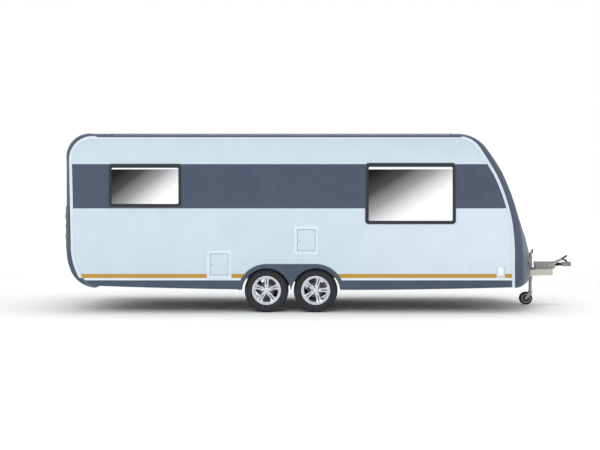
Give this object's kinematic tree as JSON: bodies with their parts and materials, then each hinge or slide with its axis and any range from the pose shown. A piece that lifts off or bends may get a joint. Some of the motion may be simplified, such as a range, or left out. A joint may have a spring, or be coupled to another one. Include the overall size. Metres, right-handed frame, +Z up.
{
  "type": "twin-axle travel caravan",
  "caption": "Tandem-axle touring caravan: panelled shell, opening door, lids and hatches, spinning wheels, jockey wheel and corner steadies.",
  "frame": {"origin": "on the ground, under the middle of the overall length and width", "axes": "+X forward to the coupling, +Y to the left, +Z up"},
  "size_m": [7.6193, 2.328, 2.6283],
  "materials": {
    "wall_panel": "gloss pale blue-white with a slate band and a gold stripe",
    "pale_laminate": "satin white laminate",
    "slate_moulding": "gloss slate grey",
    "pale_trim": "satin pale coated aluminium",
    "pale_plastic": "fine textured pale plastic",
    "board": "sandwich floor board with a dark underside",
    "dark_frame": "gloss near-black",
    "dark_acrylic": "dark tinted acrylic",
    "lens_acrylic": "moulded lens",
    "blank_plate": "blank reflective plate",
    "black_plastic": "black moulded plastic and rubber",
    "tyre_rubber": "black rubber",
    "cast_alloy": "silver painted cast alloy",
    "cast_iron_grey": "painted cast iron",
    "galvanised_steel": "hot-dip galvanised"
  },
  "bodies": {
    "body": {"axle_front": "galvanised_steel", "axle_rear": "galvanised_steel", "bellows": "black_plastic", "chassis_rail_left": "galvanised_steel", "chassis_rail_right": "galvanised_steel", "coupling_handle": "black_plastic", "coupling_head": "cast_iron_grey", "cross_members": "galvanised_steel", "drawbar_arm_left": "galvanised_steel", "drawbar_arm_right": "galvanised_steel", "edge_rail_left": "pale_trim", "edge_rail_right": "pale_trim", "floor_panel": "board", "front_bulkhead": "pale_laminate", "front_panel": "slate_moulding", "handbrake_lever": "galvanised_steel", "hatch_frames": "pale_plastic", "jockey_tube": "galvanised_steel", "lamp_housings": "dark_frame", "lamp_lenses": "lens_acrylic", "locker_liners": "pale_laminate", "number_plate": "blank_plate", "overrun_housing": "galvanised_steel", "rear_panel": "slate_moulding", "roof_panel": "pale_laminate", "rooflight_frame": "pale_plastic", "side_wall_left": "wall_panel", "side_wall_right": "wall_panel", "skirt_left": "slate_moulding", "skirt_right": "slate_moulding", "wheel_box_left": "pale_laminate", "wheel_box_right": "pale_laminate", "window_frames": "dark_frame", "window_panes": "dark_acrylic"},
    "entrance_door": {"entrance_door": "wall_panel", "door_window": "dark_acrylic", "door_handle": "black_plastic"},
    "service_door_rear": {"service_door_rear": "pale_plastic"},
    "service_door_mid": {"service_door_mid": "pale_plastic"},
    "inlet_flap": {"inlet_flap": "pale_plastic"},
    "front_locker_lid": {"front_locker_lid": "slate_moulding"},
    "rooflight_lid": {"rooflight_lid": "lens_acrylic"},
    "jockey_leg": {"jockey_leg": "galvanised_steel"},
    "jockey_fork": {"jockey_fork": "galvanised_steel"},
    "jockey_wheel": {"jockey_wheel": "tyre_rubber"},
    "wheel_front_right": {"tyre_front_right": "tyre_rubber", "rim_front_right": "cast_alloy"},
    "steady_front_right": {"steady_front_right": "galvanised_steel"},
    "wheel_front_left": {"tyre_front_left": "tyre_rubber", "rim_front_left": "cast_alloy"},
    "steady_front_left": {"steady_front_left": "galvanised_steel"},
    "wheel_rear_right": {"tyre_rear_right": "tyre_rubber", "rim_rear_right": "cast_alloy"},
    "steady_rear_right": {"steady_rear_right": "galvanised_steel"},
    "wheel_rear_left": {"tyre_rear_left": "tyre_rubber", "rim_rear_left": "cast_alloy"},
    "steady_rear_left": {"steady_rear_left": "galvanised_steel"}
  },
  "joints": [
    {"name": "wheel_front_right_spin", "type": "hinge", "parent": "body", "child": "wheel_front_right", "pos_m": [-0.194, -1, 0.317], "axis": [0, 1, 0], "continuous": true},
    {"name": "wheel_front_left_spin", "type": "hinge", "parent": "body", "child": "wheel_front_left", "pos_m": [-0.194, 1, 0.317], "axis": [0, 1, 0], "continuous": true},
    {"name": "wheel_rear_right_spin", "type": "hinge", "parent": "body", "child": "wheel_rear_right", "pos_m": [-0.903, -1, 0.317], "axis": [0, 1, 0], "continuous": true},
    {"name": "wheel_rear_left_spin", "type": "hinge", "parent": "body", "child": "wheel_rear_left", "pos_m": [-0.903, 1, 0.317], "axis": [0, 1, 0], "continuous": true},
    {"name": "entrance_door_swing", "type": "hinge", "parent": "body", "child": "entrance_door", "pos_m": [0.953, 1.157, 1.35], "axis": [0, 0, -1], "range_deg": [0, 110]},
    {"name": "service_door_rear_swing", "type": "hinge", "parent": "body", "child": "service_door_rear", "pos_m": [-1.4525, -1.158, 0.695], "axis": [0, 0, 1], "range_deg": [0, 110]},
    {"name": "service_door_mid_swing", "type": "hinge", "parent": "body", "child": "service_door_mid", "pos_m": [-0.2025, -1.158, 1.042], "axis": [0, 0, 1], "range_deg": [0, 110]},
    {"name": "inlet_flap_lift", "type": "hinge", "parent": "body", "child": "inlet_flap", "pos_m": [2.457, -1.156, 0.657], "axis": [-1, 0, 0], "range_deg": [0, 100]},
    {"name": "front_locker_lid_lift", "type": "hinge", "parent": "body", "child": "front_locker_lid", "pos_m": [2.90943, 0, 1.3325], "axis": [0, -1, 0], "range_deg": [0, 85]},
    {"name": "rooflight_lid_lift", "type": "hinge", "parent": "body", "child": "rooflight_lid", "pos_m": [-2.754, 0, 2.6136], "axis": [0, -1, 0], "range_deg": [0, 50]},
    {"name": "steady_rear_right_drop", "type": "hinge", "parent": "body", "child": "steady_rear_right", "pos_m": [-3.2, -0.62, 0.436], "axis": [0, 1, 0], "range_deg": [0, 48]},
    {"name": "steady_rear_left_drop", "type": "hinge", "parent": "body", "child": "steady_rear_left", "pos_m": [-3.2, 0.62, 0.436], "axis": [0, 1, 0], "range_deg": [0, 48]},
    {"name": "steady_front_right_drop", "type": "hinge", "parent": "body", "child": "steady_front_right", "pos_m": [1.98, -0.62, 0.436], "axis": [0, -1, 0], "range_deg": [0, 48]},
    {"name": "steady_front_left_drop", "type": "hinge", "parent": "body", "child": "steady_front_left", "pos_m": [1.98, 0.62, 0.436], "axis": [0, -1, 0], "range_deg": [0, 48]},
    {"name": "jockey_lift", "type": "slide", "parent": "body", "child": "jockey_leg", "axis": [0, 0, 1], "range_m": [0, 0.17]},
    {"name": "jockey_swivel", "type": "hinge", "parent": "jockey_leg", "child": "jockey_fork", "pos_m": [3.172, 0, 0.212], "axis": [0, 0, 1], "continuous": true},
    {"name": "jockey_wheel_spin", "type": "hinge", "parent": "jockey_fork", "child": "jockey_wheel", "pos_m": [3.1, 0, 0.1], "axis": [0, 1, 0], "continuous": true}
  ]
}
